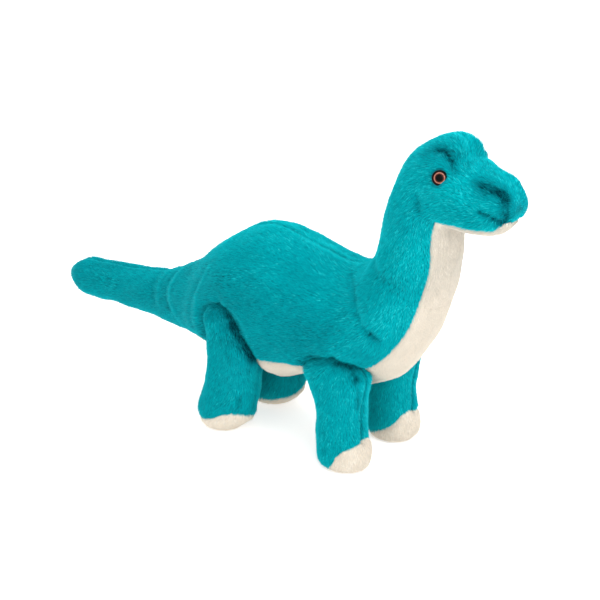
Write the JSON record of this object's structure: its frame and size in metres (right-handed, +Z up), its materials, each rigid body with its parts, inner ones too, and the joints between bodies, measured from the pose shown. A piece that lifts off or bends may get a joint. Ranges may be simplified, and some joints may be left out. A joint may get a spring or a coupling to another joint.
{
  "type": "stuffed dinosaur",
  "caption": "Plush long-necked dinosaur on four short legs, with cream throat, belly and soles, safety eyes and a soft blunt tail.",
  "frame": {"origin": "on the ground, under the middle of the whole length and width", "axes": "+X towards the snout, +Y to the animal's left, +Z up"},
  "size_m": [0.397, 0.1, 0.248],
  "materials": {
    "teal_plush": "short lying teal pile on a woven backing",
    "cream_plush": "very short cream pile",
    "stuffing": "white polyester fibre filling",
    "eye_plastic": "polished moulded plastic with a reddish brown iris",
    "washer_plastic": "white moulded locking washer"
  },
  "bodies": {
    "trunk": {"belly_gusset": "cream_plush", "flank_panel_left": "teal_plush", "flank_panel_right": "teal_plush", "trunk_stuffing": "stuffing"},
    "neck": {"neck_panel_left": "teal_plush", "neck_panel_right": "teal_plush", "neck_stuffing": "stuffing", "throat_gusset": "cream_plush"},
    "head": {"chin_gusset": "cream_plush", "eye_cap_left": "eye_plastic", "eye_cap_right": "eye_plastic", "eye_post_left": "eye_plastic", "eye_post_right": "eye_plastic", "eye_washer_left": "washer_plastic", "eye_washer_right": "washer_plastic", "head_panel_left": "teal_plush", "head_panel_right": "teal_plush", "head_stuffing": "stuffing"},
    "tail": {"tail_gusset_point": "cream_plush", "tail_panel_left": "teal_plush", "tail_panel_right": "teal_plush", "tail_stuffing": "stuffing"},
    "front_leg_left": {"front_leg_inner_panel_left": "teal_plush", "front_leg_outer_panel_left": "teal_plush", "front_leg_sole_left": "cream_plush", "front_leg_stuffing_left": "stuffing"},
    "front_leg_right": {"front_leg_inner_panel_right": "teal_plush", "front_leg_outer_panel_right": "teal_plush", "front_leg_sole_right": "cream_plush", "front_leg_stuffing_right": "stuffing"},
    "hind_leg_left": {"hind_leg_inner_panel_left": "teal_plush", "hind_leg_outer_panel_left": "teal_plush", "hind_leg_sole_left": "cream_plush", "hind_leg_stuffing_left": "stuffing"},
    "hind_leg_right": {"hind_leg_inner_panel_right": "teal_plush", "hind_leg_outer_panel_right": "teal_plush", "hind_leg_sole_right": "cream_plush", "hind_leg_stuffing_right": "stuffing"}
  },
  "joints": [
    {"name": "neck_bend", "type": "hinge", "parent": "trunk", "child": "neck", "pos_m": [0.106, 0, 0.121], "axis": [0, 1, 0], "range_deg": [-12, 18], "stiffness_Nm_per_rad": 1.6},
    {"name": "head_turn", "type": "hinge", "parent": "neck", "child": "head", "pos_m": [0.119, 0, 0.177], "axis": [0, 0, 1], "range_deg": [-25, 25], "stiffness_Nm_per_rad": 0.5},
    {"name": "tail_swing", "type": "hinge", "parent": "trunk", "child": "tail", "pos_m": [-0.088, 0, 0.072], "axis": [0, 0, 1], "range_deg": [-20, 20], "stiffness_Nm_per_rad": 0.4},
    {"name": "front_leg_left_swing", "type": "hinge", "parent": "trunk", "child": "front_leg_left", "pos_m": [0.077, 0.029, 0.072], "axis": [0, 1, 0], "range_deg": [-15, 15], "stiffness_Nm_per_rad": 1.2},
    {"name": "front_leg_right_swing", "type": "hinge", "parent": "trunk", "child": "front_leg_right", "pos_m": [0.077, -0.029, 0.072], "axis": [0, 1, 0], "range_deg": [-15, 15], "stiffness_Nm_per_rad": 1.2},
    {"name": "hind_leg_left_swing", "type": "hinge", "parent": "trunk", "child": "hind_leg_left", "pos_m": [-0.021, 0.029, 0.078], "axis": [0, 1, 0], "range_deg": [-15, 15], "stiffness_Nm_per_rad": 1.2},
    {"name": "hind_leg_right_swing", "type": "hinge", "parent": "trunk", "child": "hind_leg_right", "pos_m": [-0.021, -0.029, 0.078], "axis": [0, 1, 0], "range_deg": [-15, 15], "stiffness_Nm_per_rad": 1.2}
  ]
}
